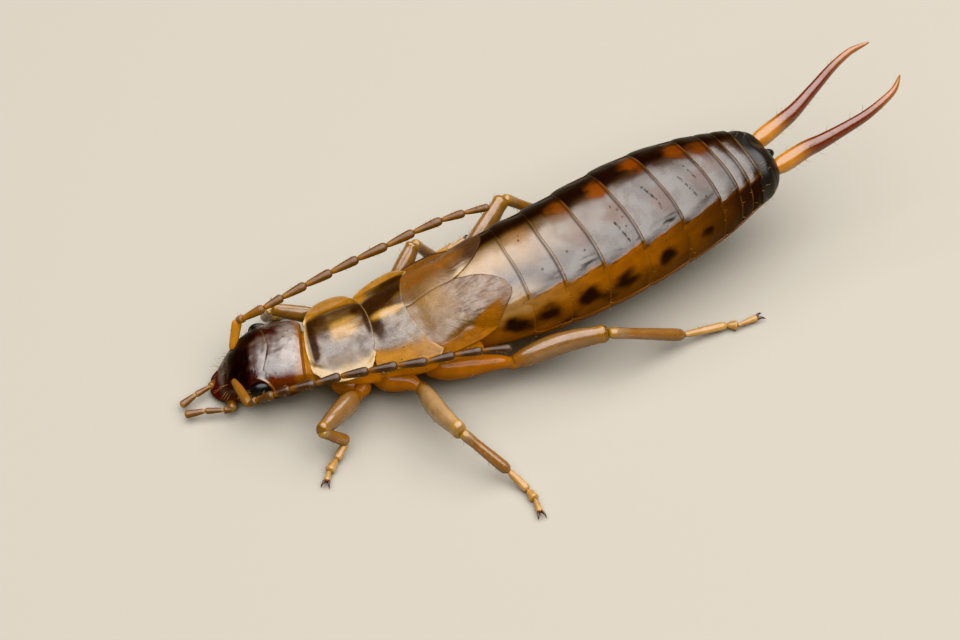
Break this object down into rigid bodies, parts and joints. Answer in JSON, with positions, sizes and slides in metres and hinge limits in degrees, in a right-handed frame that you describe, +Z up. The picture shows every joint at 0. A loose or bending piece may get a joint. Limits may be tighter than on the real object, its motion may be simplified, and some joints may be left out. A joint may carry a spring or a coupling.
{
  "type": "earwig nymph figure",
  "caption": "Life-size still model of a young earwig walking low, feelers swept back, wing pads on its back and slender forceps raised.",
  "frame": {"origin": "middle of the box round the animal, on the floor that its soles stand on", "axes": "+X toward the forceps, the head toward -X, +Y to the animal's right, +Z up"},
  "size_m": [0.0156, 0.0074, 0.0025],
  "materials": {
    "cuticle_head": "glossy dark red-brown cuticle, almost black in front, amber hind rim",
    "eye": "glossy black facetted eye",
    "palp": "brown jaw feeler with pale joints",
    "antenna": "grey-brown beads with pale joints, amber first bead",
    "membrane": "pale amber skin",
    "cuticle_thorax": "satin amber and brown plates with pale clear edges",
    "cuticle_abdomen": "satin dark brown rings, orange spots, amber flanks",
    "cuticle_tail": "glossy black cuticle",
    "forceps": "amber roots, glossy red-brown arms",
    "leg": "clear pale yellow leg with dark claws"
  },
  "bodies": {
    "root": {"head": "cuticle_head", "eye_left": "eye", "eye_right": "eye", "palp_left": "palp", "palp_right": "palp", "antenna_left": "antenna", "antenna_right": "antenna", "neck": "membrane", "prothorax": "cuticle_thorax", "mesothorax": "cuticle_thorax", "metathorax": "cuticle_thorax", "abdomen": "cuticle_abdomen", "last_segment": "cuticle_tail", "forceps_left": "forceps", "forceps_right": "forceps", "leg_front_left": "leg", "leg_mid_left": "leg", "leg_hind_left": "leg", "leg_front_right": "leg", "leg_mid_right": "leg", "leg_hind_right": "leg"}
  },
  "joints": []
}
